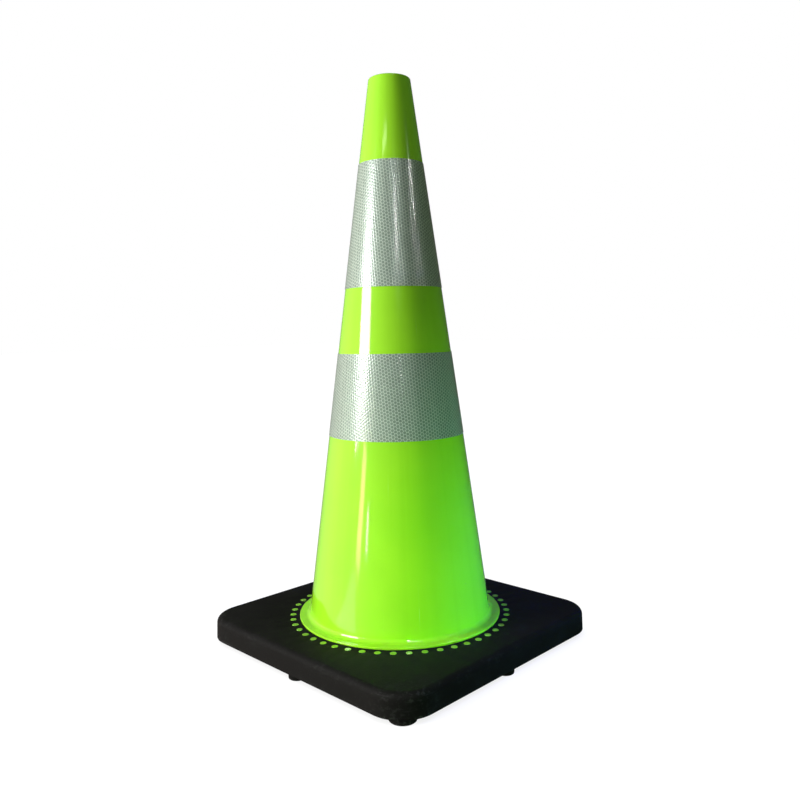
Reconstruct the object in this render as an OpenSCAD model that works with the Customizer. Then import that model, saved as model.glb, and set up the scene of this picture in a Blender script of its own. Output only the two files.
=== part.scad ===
// Traffic cone for roads and workplaces: a hollow lime body locked into a square black base,
// with two reflective collars bonded to the wall.
// Z points up from the floor, the cone's axis is the Z axis, and the base's sides run along X and Y.

/* [Overall] */
// Height of the whole cone above the floor
overall_height = 700; // [660:1:740]

/* [Cone body] */
// Outer diameter of the rim, where the wall meets the top
rim_diameter = 51.4; // [50:0.2:56]
// Outer diameter of the wall at the level of the base's top face
foot_diameter = 232.2; // [230:0.2:234]
// Thickness of the wall, measured square to it
wall = 3; // [2:0.1:3.2]
// Radius of the rim's outer edge
rim_round = 2.2; // [0.6:0.1:2.4]
// Radius of the mouth's edge
mouth_round = 1; // [0.5:0.1:1.2]
// Diameter of the straight mouth inside the rim
mouth_diameter = 44; // [40:0.5:44]
// Height of the thick lip around the mouth
mouth_lip_height = 12; // [8:0.5:20]

/* [Foot ring and lock] */
// Diameter of the foot ring, which lies flat on the base
foot_ring_diameter = 257.4; // [254:0.2:260]
// Thickness of the foot ring
foot_ring_thickness = 2.4; // [1.6:0.1:4]
// Radius of the foot ring's upper edge
foot_ring_round = 0.9; // [0.4:0.1:1.2]
// Radius of the fillet between the foot ring and the wall
foot_fillet = 5.8; // [3:0.1:7]
// Diameter of the neck that fills the opening in the base
neck_diameter = 242; // [240:0.5:244]
// Diameter of the flange under the base's top plate
flange_diameter = 292; // [286:1:294]
// Thickness of the flange
flange_thickness = 4; // [3:0.5:6]
// Number of lock pegs, which rise from the flange through the top plate
peg_count = 48; // [12:4:48]
// Diameter of a lock peg
peg_diameter = 7.6; // [5:0.1:9]
// Diameter of the circle of lock pegs
peg_circle_diameter = 274.4; // [270:0.2:276]
// Height by which a peg stands above the base's top face
peg_proud = 0.3; // [0.1:0.1:1]

/* [Base] */
// Length of each side of the base
base_size = 360; // [350:1:400]
// Thickness of the base, without its feet
base_thickness = 27.5; // [24:0.5:32]
// Thickness of the top plate, above the flange
plate_thickness = 14; // [8:0.5:16]
// Radius of the base's corners, seen from above
corner_round = 43; // [20:1:60]
// Radius of the base's top edge
edge_round = 8; // [2:0.5:10]
// Distance by which each side leans in from the bottom to the top
side_draft = 0.7; // [0.1:0.1:2]
// Width of the small bevel along the bottom edge
bottom_bevel = 0.8; // [0.2:0.1:2]
// Diameter of the recess under the base, which clears the foot ring of a cone stacked below
recess_diameter = 302; // [296:1:304]

/* [Feet] */
// Height of the feet
foot_height = 6; // [3:0.5:10]
// Diameter of the four corner feet
corner_foot_diameter = 30; // [20:1:34]
// Distance from the centre of a corner foot to each of the two sides
corner_foot_inset = 23.5; // [22:0.5:26]
// Diameter of the four feet at the middle of the sides
side_foot_diameter = 22; // [14:1:22]
// Distance from the centre of a side foot to its side
side_foot_inset = 12; // [12:0.5:14]
// Radius of the feet's lower edges
foot_round = 1.5; // [0.5:0.1:2.5]

/* [Reflective collars] */
// Distance down the wall from the rim to the upper collar
upper_collar_drop = 103.5; // [76:0.5:110]
// Width of the upper collar, measured along the wall
upper_collar_width = 152.4; // [150:0.1:156]
// Distance down the wall from the rim to the lower collar
lower_collar_drop = 336; // [310:0.5:350]
// Width of the lower collar, measured along the wall
lower_collar_width = 103; // [101:0.1:106]
// Thickness of the backing film with its adhesive
backing_thickness = 0.2; // [0.1:0.05:0.5]
// Thickness of the prismatic face film
face_thickness = 0.35; // [0.2:0.05:0.8]

/* [Hidden] */
$fn = 128;

lime = "greenyellow";
black = "#1d1d1c";
film_white = "gainsboro";
prism_grey = "darkseagreen";

// Number of straight steps in a quarter round
quarter_steps = 12;
// How far a cutter runs past the face that it opens
clear = 1;

rim_r = rim_diameter / 2;
base_top = foot_height + base_thickness;
flange_top = base_top - plate_thickness;
flange_bottom = flange_top - flange_thickness;

// The wall is straight: it leans in by wall_slope for each unit of height
wall_slope = (foot_diameter - rim_diameter) / 2 / (overall_height - base_top);
wall_angle = atan(wall_slope);
slant = 1 / cos(wall_angle);
wall_across = wall * slant;

// Outer radius of the wall at a height
function wall_radius(z) = rim_r + wall_slope * (overall_height - z);

// Height of a place on the wall, a distance down the wall from the rim
function height_at_drop(drop) = overall_height - drop / slant;

// A point at a height on the wall, moved out square to the wall
function off_wall(z, out) = [
    wall_radius(z) + out * cos(wall_angle),
    z + out * sin(wall_angle)
];

// Points of an arc, from one angle to another
function arc(centre, r, from, to) = [
    for (i = [0 : quarter_steps])
        let (a = from + (to - from) * i / quarter_steps)
            centre + r * [cos(a), sin(a)]
];

// Half of the cone body's cross-section, as radius and height
function body_outline() =
    let (
        rim_centre_z = overall_height - rim_round,
        rim_centre = [wall_radius(rim_centre_z) - rim_round * slant, rim_centre_z],
        mouth_r = mouth_diameter / 2,
        mouth_centre = [mouth_r + mouth_round, overall_height - mouth_round],
        lip_bottom = overall_height - mouth_lip_height,
        inner_at_lip = wall_radius(lip_bottom) - wall_across,
        lip_taper_z = lip_bottom - (inner_at_lip - mouth_r),
        ring_top = base_top + foot_ring_thickness,
        ring_r = foot_ring_diameter / 2,
        ring_centre = [ring_r - foot_ring_round, ring_top - foot_ring_round],
        fillet_z = ring_top + foot_fillet,
        fillet_centre = [wall_radius(fillet_z) + foot_fillet * slant, fillet_z]
    )
    concat(
        arc(mouth_centre, mouth_round, 180, 90),
        arc(rim_centre, rim_round, 90, wall_angle),
        arc(fillet_centre, foot_fillet, 180 + wall_angle, 270),
        arc(ring_centre, foot_ring_round, 90, 0),
        [
            [ring_r, base_top],
            [neck_diameter / 2, base_top],
            [neck_diameter / 2, flange_top],
            [flange_diameter / 2, flange_top],
            [flange_diameter / 2, flange_bottom],
            [wall_radius(flange_bottom) - wall_across, flange_bottom],
            [wall_radius(lip_taper_z) - wall_across, lip_taper_z],
            [mouth_r, lip_bottom]
        ]
    );

// Puts its children at every place in the ring of lock pegs, half a step off the X axis
module at_each_peg() {
    for (i = [0 : peg_count - 1])
        rotate([0, 0, (i + 0.5) * 360 / peg_count])
            translate([peg_circle_diameter / 2, 0, 0])
                children();
}

module cone_body() {
    color(lime) {
        rotate_extrude()
            polygon(body_outline());
        at_each_peg()
            translate([0, 0, flange_top - clear])
                cylinder(d = peg_diameter, h = plate_thickness + clear + peg_proud);
    }
}

// Cross-section of the base's side, from a plane one corner radius inside it out to its face
module side_profile() {
    top_r = corner_round - side_draft;
    polygon(concat(
        [
            [0, 0],
            [corner_round - bottom_bevel, 0],
            [corner_round, bottom_bevel]
        ],
        arc([top_r - edge_round, base_thickness - edge_round], edge_round, 0, 90),
        [[0, base_thickness]]
    ));
}

// The solid block of the base, with round corners and a round top edge
module base_block() {
    straight = base_size - 2 * corner_round;
    translate([-straight / 2, -straight / 2, 0])
        cube([straight, straight, base_thickness]);
    for (turn = [0 : 90 : 270])
        rotate([0, 0, turn]) {
            translate([straight / 2, straight / 2, 0])
                rotate_extrude(angle = 90)
                    side_profile();
            translate([straight / 2, straight / 2, 0])
                rotate([90, 0, 0])
                    linear_extrude(straight)
                        side_profile();
        }
}

// A round foot pad, whose top runs into the base
module foot_pad(diameter) {
    r = diameter / 2;
    rotate_extrude()
        polygon(concat(
            [[0, 0]],
            arc([r - foot_round, foot_round], foot_round, -90, 0),
            [
                [r, foot_height + clear],
                [0, foot_height + clear]
            ]
        ));
}

module feet() {
    corner_at = base_size / 2 - corner_foot_inset;
    side_at = base_size / 2 - side_foot_inset;
    for (turn = [0 : 90 : 270])
        rotate([0, 0, turn]) {
            translate([corner_at, corner_at, 0])
                foot_pad(corner_foot_diameter);
            translate([side_at, 0, 0])
                foot_pad(side_foot_diameter);
        }
}

// The space that the cone body's neck, flange and pegs take in the base, and the recess below them
module base_openings() {
    translate([0, 0, foot_height - clear])
        cylinder(d = neck_diameter, h = base_thickness + 2 * clear);
    translate([0, 0, foot_height - clear])
        cylinder(d = flange_diameter, h = flange_top - foot_height + clear);
    translate([0, 0, foot_height - clear])
        cylinder(d = recess_diameter, h = flange_bottom - foot_height + clear);
    at_each_peg()
        translate([0, 0, flange_top - clear])
            cylinder(d = peg_diameter, h = plate_thickness + 2 * clear);
}

module base() {
    color(black) {
        difference() {
            translate([0, 0, foot_height])
                base_block();
            base_openings();
        }
        feet();
    }
}

// A film wrapped round the wall, from one distance out from the wall to another
module film(drop, width, inside, outside) {
    top_z = height_at_drop(drop);
    bottom_z = height_at_drop(drop + width);
    rotate_extrude()
        polygon([
            off_wall(bottom_z, inside),
            off_wall(bottom_z, outside),
            off_wall(top_z, outside),
            off_wall(top_z, inside)
        ]);
}

module backing_film(drop, width) {
    color(film_white)
        film(drop, width, 0, backing_thickness);
}

module face_film(drop, width) {
    color(prism_grey)
        film(drop, width, backing_thickness, backing_thickness + face_thickness);
}

module upper_collar_backing() {
    backing_film(upper_collar_drop, upper_collar_width);
}

module upper_collar_face() {
    face_film(upper_collar_drop, upper_collar_width);
}

module lower_collar_backing() {
    backing_film(lower_collar_drop, lower_collar_width);
}

module lower_collar_face() {
    face_film(lower_collar_drop, lower_collar_width);
}

base();
cone_body();
upper_collar_backing();
upper_collar_face();
lower_collar_backing();
lower_collar_face();
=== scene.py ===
"""Builds the looks of a lime road cone on a black base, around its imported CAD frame.

The object is 700 mm tall. A hollow soft PVC body stands in a heavy square base of black recycled
PVC: its foot ring lies on the base, and the ends of 48 lock pegs show as a ring of dots round it.
Two reflective collars are wrapped round the wall, each a white backing film and a clear prismatic
face film that is welded to it in a honeycomb.

Everything is in metres in the CAD frame: Z is the cone's axis, the floor is z = 0, and the base's
sides run along X and Y. Bearings are degrees round Z, from +X towards +Y.
"""

import logging
import math
from dataclasses import dataclass, field
from enum import Enum, IntEnum

import bmesh
import bpy
import numpy as np
from mathutils import Matrix, Vector


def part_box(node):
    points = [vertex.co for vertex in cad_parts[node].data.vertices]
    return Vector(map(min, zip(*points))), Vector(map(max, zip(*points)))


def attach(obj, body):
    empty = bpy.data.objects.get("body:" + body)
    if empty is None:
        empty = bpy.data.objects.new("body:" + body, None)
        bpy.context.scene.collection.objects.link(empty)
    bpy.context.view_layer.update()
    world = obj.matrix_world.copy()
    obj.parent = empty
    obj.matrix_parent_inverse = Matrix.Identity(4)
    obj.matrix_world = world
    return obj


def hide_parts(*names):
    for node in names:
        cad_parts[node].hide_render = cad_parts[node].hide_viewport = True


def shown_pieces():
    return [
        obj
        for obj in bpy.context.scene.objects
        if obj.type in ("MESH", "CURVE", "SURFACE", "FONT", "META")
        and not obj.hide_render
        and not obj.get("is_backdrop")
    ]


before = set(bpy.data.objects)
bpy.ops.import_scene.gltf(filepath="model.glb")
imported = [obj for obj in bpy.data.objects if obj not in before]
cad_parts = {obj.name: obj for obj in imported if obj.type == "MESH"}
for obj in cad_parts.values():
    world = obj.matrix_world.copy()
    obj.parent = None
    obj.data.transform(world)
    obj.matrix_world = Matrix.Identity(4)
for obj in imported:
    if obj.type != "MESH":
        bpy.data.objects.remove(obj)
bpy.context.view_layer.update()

log = logging.getLogger("road_cone")

MM = 0.001
MERGE_DISTANCE = 0.001 * MM
SHARP_DEGREES = 40.0
ROOT_BODY = "root"
FRONT_BEARING = 225.2

Colour = tuple[float, float, float]
Point = tuple[float, float]
Triple = tuple[float, float, float]


class Slot(Enum):
    """The record's material slots."""

    LIME = "lime_body"
    BLACK = "black_base"
    BACKING = "collar_backing"
    PRISM = "collar_prismatic"


class Part(Enum):
    """The CAD nodes that the pieces stand for."""

    BASE = "base"
    BODY = "cone_body"
    UPPER_BACKING = "upper_collar_backing"
    UPPER_FACE = "upper_collar_face"
    LOWER_BACKING = "lower_collar_backing"
    LOWER_FACE = "lower_collar_face"


class FilmLayer(IntEnum):
    """The material numbers of a face film's faces."""

    CELL = 0
    WELD = 1
    SEAM = 2


# ---------------------------------------------------------------------------------------------
# Shader maths
# ---------------------------------------------------------------------------------------------


class Signal:
    """One output socket of a material's nodes, with the operators of a number."""

    def __init__(self, graph: "NodeGraph", socket: bpy.types.NodeSocket) -> None:
        """Wraps a socket.

        Args:
            graph: The node graph that the socket belongs to.
            socket: The output socket.
        """
        self.graph = graph
        self.socket = socket

    def __add__(self, other: "Signal | float") -> "Signal":
        """The sum."""
        return self.graph.math("ADD", self, other)

    __radd__ = __add__

    def __sub__(self, other: "Signal | float") -> "Signal":
        """The difference."""
        return self.graph.math("SUBTRACT", self, other)

    def __rsub__(self, other: "Signal | float") -> "Signal":
        """The difference, from a number."""
        return self.graph.math("SUBTRACT", other, self)

    def __mul__(self, other: "Signal | float") -> "Signal":
        """The product."""
        return self.graph.math("MULTIPLY", self, other)

    __rmul__ = __mul__

    def __truediv__(self, other: "Signal | float") -> "Signal":
        """The quotient."""
        return self.graph.math("DIVIDE", self, other)

    def __rtruediv__(self, other: "Signal | float") -> "Signal":
        """The quotient of a number."""
        return self.graph.math("DIVIDE", other, self)

    def __pow__(self, other: "Signal | float") -> "Signal":
        """The power."""
        return self.graph.math("POWER", self, other)

    def __abs__(self) -> "Signal":
        """The size without its sign."""
        return self.graph.math("ABSOLUTE", self)

    def at_least(self, other: "Signal | float") -> "Signal":
        """The larger of the two."""
        return self.graph.math("MAXIMUM", self, other)

    def at_most(self, other: "Signal | float") -> "Signal":
        """The smaller of the two."""
        return self.graph.math("MINIMUM", self, other)

    def fade(self, start: float, end: float) -> "Signal":
        """A soft step.

        Args:
            start: The value at which the step is 0.
            end: The value at which the step is 1, which may be the smaller of the two.

        Returns:
            A signal that runs smoothly from 0 to 1.
        """
        flip = end < start
        low, high = (end, start) if flip else (start, end)
        return self.graph.node(
            "ShaderNodeMapRange",
            {"interpolation_type": "SMOOTHSTEP"},
            {
                "Value": self,
                "From Min": low,
                "From Max": high,
                "To Min": 1.0 if flip else 0.0,
                "To Max": 0.0 if flip else 1.0,
            },
        )


class NodeGraph:
    """The node tree of one material or of the world."""

    def __init__(self, tree: bpy.types.NodeTree) -> None:
        """Empties a node tree.

        Args:
            tree: The tree to write in.
        """
        self.tree = tree
        tree.nodes.clear()

    def node(
        self,
        kind: str,
        settings: dict[str, object] | None = None,
        inputs: dict[str | int, object] | None = None,
        output: str | int = 0,
    ) -> Signal:
        """Adds a node.

        Args:
            kind: The node's type.
            settings: The node's own settings; "stops" are a ramp's positions and colours.
            inputs: A value or a signal for each socket, by name, identifier or place.
            output: The output socket to return, by name, identifier or place.

        Returns:
            The output as a signal.
        """
        made = self.tree.nodes.new(kind)
        for name, value in (settings or {}).items():
            if name == "stops":
                self._set_stops(made.color_ramp, value)
            else:
                setattr(made, name, value)
        for key, value in (inputs or {}).items():
            self._feed(self._socket(made.inputs, key), value)
        return Signal(self, self._socket(made.outputs, output))

    def show(self, kind: str, surface: Signal) -> None:
        """Joins a surface to an output node.

        Args:
            kind: The output node's type.
            surface: The surface to show.
        """
        output = self.tree.nodes.new(kind)
        self.tree.links.new(surface.socket, output.inputs["Surface"])

    @staticmethod
    def _set_stops(ramp: bpy.types.ColorRamp, stops: list[tuple[float, Colour]]) -> None:
        """Gives a ramp its stops.

        Args:
            ramp: The ramp.
            stops: The position and colour of each stop, in order.
        """
        while len(ramp.elements) < len(stops):
            ramp.elements.new(1.0)
        for element, (position, colour) in zip(ramp.elements, stops):
            element.position = position
            element.color = (*colour, 1.0)

    @staticmethod
    def _socket(sockets: bpy.types.bpy_prop_collection, key: str | int) -> bpy.types.NodeSocket:
        """Finds a socket.

        Args:
            sockets: A node's inputs or outputs.
            key: The socket's place, identifier or name.

        Returns:
            The socket.
        """
        if isinstance(key, int):
            return sockets[key]
        for each in sockets:
            if each.identifier == key:
                return each
        return sockets[key]

    def _feed(self, socket: bpy.types.NodeSocket, value: object) -> None:
        """Links a signal to an input socket, or sets the socket's own value.

        Args:
            socket: The input socket.
            value: A signal, a number, a colour or a vector.
        """
        if isinstance(value, Signal):
            self.tree.links.new(value.socket, socket)
        elif socket.type == "RGBA" and len(value) == 3:
            socket.default_value = (*value, 1.0)
        else:
            socket.default_value = value

    def math(self, operation: str, *values: Signal | float) -> Signal:
        """Adds a Math node.

        Args:
            operation: The operation.
            values: Its values.

        Returns:
            The result.
        """
        return self.node("ShaderNodeMath", {"operation": operation}, dict(enumerate(values)))

    def place(self) -> Signal:
        """The shaded point in the object's frame."""
        return self.node("ShaderNodeTexCoord", output="Object")

    def split(self, vector: Signal) -> tuple[Signal, Signal, Signal]:
        """Takes a vector apart.

        Args:
            vector: The vector.

        Returns:
            Its three parts.
        """
        first = self.node("ShaderNodeSeparateXYZ", inputs={"Vector": vector})
        outputs = first.socket.node.outputs
        return first, Signal(self, outputs[1]), Signal(self, outputs[2])

    def join(self, x: Signal | float, y: Signal | float, z: Signal | float) -> Signal:
        """Makes a vector of three numbers."""
        return self.node("ShaderNodeCombineXYZ", inputs={0: x, 1: y, 2: z})

    def stretch(self, vector: Signal, by: Triple) -> Signal:
        """Multiplies each part of a vector by its own number."""
        return self.node("ShaderNodeVectorMath", {"operation": "MULTIPLY"}, {0: vector, 1: by})

    def noise(self, where: Signal, scale: float, detail: float = 2.0, rough: float = 0.5) -> Signal:
        """Soft noise.

        Args:
            where: The point to look it up at.
            scale: Number of lumps in a unit of length.
            detail: Number of finer layers.
            rough: Strength of each finer layer.

        Returns:
            A signal between 0 and 1, about 0.5 on average.
        """
        return self.node(
            "ShaderNodeTexNoise",
            {},
            {"Vector": where, "Scale": scale, "Detail": detail, "Roughness": rough},
            "Fac",
        )

    def blend(
        self, amount: Signal | float, first: Signal | Colour, second: Signal | Colour
    ) -> Signal:
        """Mixes two colours.

        Args:
            amount: The share of the second colour.
            first: The first colour.
            second: The second colour.

        Returns:
            The mixed colour.
        """
        return self.node(
            "ShaderNodeMix",
            {"data_type": "RGBA"},
            {"Factor_Float": amount, "A_Color": first, "B_Color": second},
            "Result_Color",
        )

    def relief(self, height: Signal, depth: float, under: Signal | None = None) -> Signal:
        """Turns a height from 0 to 1 into a normal.

        Args:
            height: The height.
            depth: The height's full size in metres.
            under: The normal of a coarser relief below this one.

        Returns:
            The normal.
        """
        inputs: dict[str | int, object] = {"Height": height, "Distance": depth, "Strength": 1.0}
        if under is not None:
            inputs["Normal"] = under
        return self.node("ShaderNodeBump", {}, inputs)


def new_finish(name: str) -> tuple[bpy.types.Material, NodeGraph]:
    """Makes an empty material.

    Args:
        name: The finish's name.

    Returns:
        The material and its node graph.
    """
    material = bpy.data.materials.new(name)
    material.use_nodes = True
    return material, NodeGraph(material.node_tree)


def finish_surface(graph: NodeGraph, sockets: dict[str | int, object]) -> None:
    """Ends a material with its surface.

    Args:
        graph: The material's nodes.
        sockets: The values and signals of the surface shader's sockets.
    """
    surface = graph.node("ShaderNodeBsdfPrincipled", {}, sockets)
    graph.show("ShaderNodeOutputMaterial", surface)


# ---------------------------------------------------------------------------------------------
# Finishes
# ---------------------------------------------------------------------------------------------


@dataclass(frozen=True)
class LimePvc:
    """Glossy fluorescent lime soft PVC, with faint flow streaks, rub marks and settled dust.

    Dust settles up to `dust_rise` above `foot_height`, and the pegs beyond `ring_edge` are
    trodden dull.
    """

    lime: Colour = (0.36, 0.83, 0.020)
    deep: Colour = (0.29, 0.75, 0.014)
    chalk: Colour = (0.52, 0.83, 0.20)
    dust: Colour = (0.20, 0.26, 0.10)
    trodden: Colour = (0.085, 0.17, 0.045)
    gloss: float = 0.08
    rubbed_gloss: float = 0.30
    foot_height: float = 33.5 * MM
    dust_rise: float = 9 * MM
    ring_edge: float = 130 * MM

    def material(self) -> bpy.types.Material:
        """Makes the material.

        Returns:
            The material.
        """
        material, g = new_finish("lime_pvc")
        place = g.place()
        x, y, z = g.split(place)
        bearing = g.math("ARCTAN2", y, x)
        along = g.join(g.math("COSINE", bearing), g.math("SINE", bearing), z)
        clouds = g.noise(place, 11.0, 3.0).fade(0.34, 0.68)
        flow = g.noise(g.stretch(along, (9.0, 9.0, 2.2)), 1.0, 4.0).fade(0.42, 0.64)
        tint = g.blend(clouds * 0.45 + flow * 0.20, self.lime, self.deep)
        scratch_field = g.noise(g.stretch(along, (46.0, 46.0, 7.0)), 1.0, 3.0, 0.6)
        patches = g.noise(place, 17.0, 2.0).fade(0.47, 0.66)
        rubs = scratch_field.fade(0.64, 0.76) * patches
        tint = g.blend(rubs * 0.12, tint, self.chalk)
        low = z.fade(self.foot_height + self.dust_rise, self.foot_height)
        settled = low * g.noise(place, 90.0, 3.0).fade(0.45, 0.80)
        specks = g.noise(place, 430.0, 2.0).fade(0.70, 0.76) * patches
        tint = g.blend((settled * 0.14 + specks * 0.22).at_most(0.5), tint, self.dust)
        outside = ((x * x + y * y) ** 0.5).fade(self.ring_edge, self.ring_edge + 2 * MM)
        tint = g.blend(outside * 0.42, tint, self.trodden)
        ripple = g.relief(g.noise(place, 15.0, 1.0), 0.00012)
        peel = g.relief(g.noise(place, 170.0, 2.0), 0.000010, ripple)
        finish_surface(
            g,
            {
                "Base Color": tint,
                "Roughness": self.gloss
                + clouds * 0.03
                + rubs * (self.rubbed_gloss - self.gloss)
                + settled * 0.12,
                "Normal": peel,
                "IOR": 1.52,
                "Coat Weight": 0.25,
                "Coat Roughness": 0.05,
            },
        )
        return material


@dataclass(frozen=True)
class BlackPvc:
    """Matte black recycled PVC, with a fine moulded grain and pale rub marks along its edges.

    The edges lie `side` beyond the square of half-width `straight`, and the top face at `top`.
    """

    black: Colour = (0.0038, 0.0038, 0.0038)
    worn: Colour = (0.0078, 0.0078, 0.0079)
    rub: Colour = (0.085, 0.086, 0.088)
    roughness: float = 0.68
    straight: float = 137 * MM
    side: float = 43 * MM
    top: float = 33.5 * MM
    scuffed_corners: tuple[Triple, ...] = ((-0.158, 0.158, 0.026), (-0.160, -0.160, 0.012))

    def material(self) -> bpy.types.Material:
        """Makes the material.

        Returns:
            The material.
        """
        material, g = new_finish("black_pvc")
        place = g.place()
        x, y, z = g.split(place)
        beyond_x = (abs(x) - self.straight).at_least(0.0)
        beyond_y = (abs(y) - self.straight).at_least(0.0)
        out = (beyond_x * beyond_x + beyond_y * beyond_y) ** 0.5
        rounded_edge = out.fade(self.side - 0.011, self.side - 0.004) * z.fade(
            self.top - 0.014, self.top - 0.006
        )
        low_edge = out.fade(self.side - 0.003, self.side - 0.001) * z.fade(0.013, 0.007)
        edges = (rounded_edge * 0.55 + low_edge).at_most(1.0)
        corner_wear: Signal | float = 0.0
        for corner in self.scuffed_corners:
            reach = g.node(
                "ShaderNodeVectorMath", {"operation": "DISTANCE"}, {0: place, 1: corner}, "Value"
            )
            corner_wear = reach.fade(0.062, 0.012) + corner_wear
        lumps = g.noise(place, 24.0, 4.0).fade(0.40, 0.68)
        flakes = g.noise(place, 210.0, 4.0, 0.6).fade(0.50, 0.66)
        scores = g.noise(g.stretch(place, (60.0, 60.0, 420.0)), 1.0, 3.0).fade(0.56, 0.70)
        edge_rubs = (edges * (flakes * 0.30 + scores * 0.30) * lumps).at_most(1.0)
        corner_rubs = corner_wear * edges.at_least(0.35) * (flakes * 0.55 + scores * 0.35)
        rubs = (edge_rubs + corner_rubs).at_most(1.0)
        dusty = g.noise(place, 36.0, 5.0, 0.62).fade(0.46, 0.72)
        specks = g.noise(place, 520.0, 2.0).fade(0.69, 0.76)
        shade = g.blend(dusty * 0.75, self.black, self.worn)
        shade = g.blend((rubs * 0.45 + specks * 0.12).at_most(1.0), shade, self.rub)
        coarse = g.relief(g.noise(place, 330.0, 3.0), 0.00010)
        grain = g.relief(g.noise(place, 1250.0, 2.0), 0.00004, coarse)
        finish_surface(
            g,
            {
                "Base Color": shade,
                "Roughness": self.roughness + dusty * 0.08 + rubs * 0.12,
                "Normal": grain,
                "IOR": 1.45,
                "Specular IOR Level": 0.14,
            },
        )
        return material


@dataclass(frozen=True)
class WhiteVinyl:
    """White vinyl backing film, slightly greyed where it has been handled."""

    white: Colour = (0.76, 0.78, 0.76)
    greyed: Colour = (0.60, 0.62, 0.59)

    def material(self) -> bpy.types.Material:
        """Makes the material.

        Returns:
            The material.
        """
        material, g = new_finish("white_vinyl")
        place = g.place()
        marks = g.noise(place, 60.0, 4.0).fade(0.45, 0.7)
        finish_surface(
            g,
            {
                "Base Color": g.blend(marks * 0.5, self.white, self.greyed),
                "Roughness": 0.42 + marks * 0.12,
                "Normal": g.relief(g.noise(place, 700.0, 2.0), 0.00002),
            },
        )
        return material


CELL_TONE = "cell_tone"


@dataclass(frozen=True)
class PrismFilm:
    """Clear film over tiny prisms: silvery where light comes back, grey-green where it does not."""

    name: str
    bright: Colour
    dull: Colour
    metallic: float
    roughness: float
    sparkle: float

    def material(self) -> bpy.types.Material:
        """Makes the material.

        Returns:
            The material.
        """
        material, g = new_finish(self.name)
        place = g.place()
        x, y, z = g.split(place)
        bearing = g.math("ARCTAN2", y, x)
        along = g.join(g.math("COSINE", bearing), g.math("SINE", bearing), z)
        bands = g.noise(g.stretch(along, (5.0, 5.0, 3.0)), 1.0, 3.0).fade(0.36, 0.66)
        glitter = g.noise(place, 640.0, 1.0).fade(0.38, 0.66)
        tone = g.node("ShaderNodeAttribute", {"attribute_name": CELL_TONE}, {}, "Fac")
        mix = bands * 0.35 + glitter * self.sparkle + tone * 0.30
        finish_surface(
            g,
            {
                "Base Color": g.blend(mix.at_most(1.0), self.bright, self.dull),
                "Metallic": self.metallic,
                "Roughness": self.roughness + glitter * 0.08,
                "Normal": g.relief(g.noise(place, 420.0, 1.0), 0.000012),
                "Coat Weight": 1.0,
                "Coat Roughness": 0.045,
                "Coat IOR": 1.5,
            },
        )
        return material


PRISM_CELLS = PrismFilm(
    "prism_cells",
    bright=(0.245, 0.335, 0.27),
    dull=(0.15, 0.215, 0.17),
    metallic=0.20,
    roughness=0.42,
    sparkle=0.35,
)
WELD_LINES = PrismFilm(
    "weld_lines",
    bright=(0.53, 0.645, 0.54),
    dull=(0.43, 0.53, 0.44),
    metallic=0.0,
    roughness=0.45,
    sparkle=0.10,
)
TOOL_SEAM = PrismFilm(
    "tool_seam",
    bright=(0.19, 0.25, 0.205),
    dull=(0.13, 0.18, 0.14),
    metallic=0.2,
    roughness=0.4,
    sparkle=0.1,
)


# ---------------------------------------------------------------------------------------------
# Mesh making
# ---------------------------------------------------------------------------------------------


def arc(centre: Point, radius: float, start: float, end: float, steps: int) -> list[Point]:
    """Points of an arc in a cross-section.

    Args:
        centre: The arc's centre, as radius and height.
        radius: The arc's radius.
        start: The angle of the first point, in degrees.
        end: The angle of the last point, in degrees.
        steps: The number of steps.

    Returns:
        The points, as radius and height.
    """
    angles = np.radians(np.linspace(start, end, steps + 1))
    return [(centre[0] + radius * math.cos(a), centre[1] + radius * math.sin(a)) for a in angles]


def guarded(outline: list[Point], margin: float, closed: bool = True) -> list[Point]:
    """Adds points near the ends of long straight runs, so that shading stays straight along them.

    Args:
        outline: The points of a cross-section.
        margin: The distance of an added point from the end of its run.
        closed: Whether the last point joins the first.

    Returns:
        The points with the added ones.
    """
    result: list[Point] = []
    count = len(outline)
    for i, start in enumerate(outline):
        result.append(start)
        if i == count - 1 and not closed:
            break
        end = outline[(i + 1) % count]
        length = math.dist(start, end)
        if length > 4 * margin:
            for share in (margin / length, 1 - margin / length):
                result.append(
                    (
                        start[0] + (end[0] - start[0]) * share,
                        start[1] + (end[1] - start[1]) * share,
                    )
                )
    return result


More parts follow.
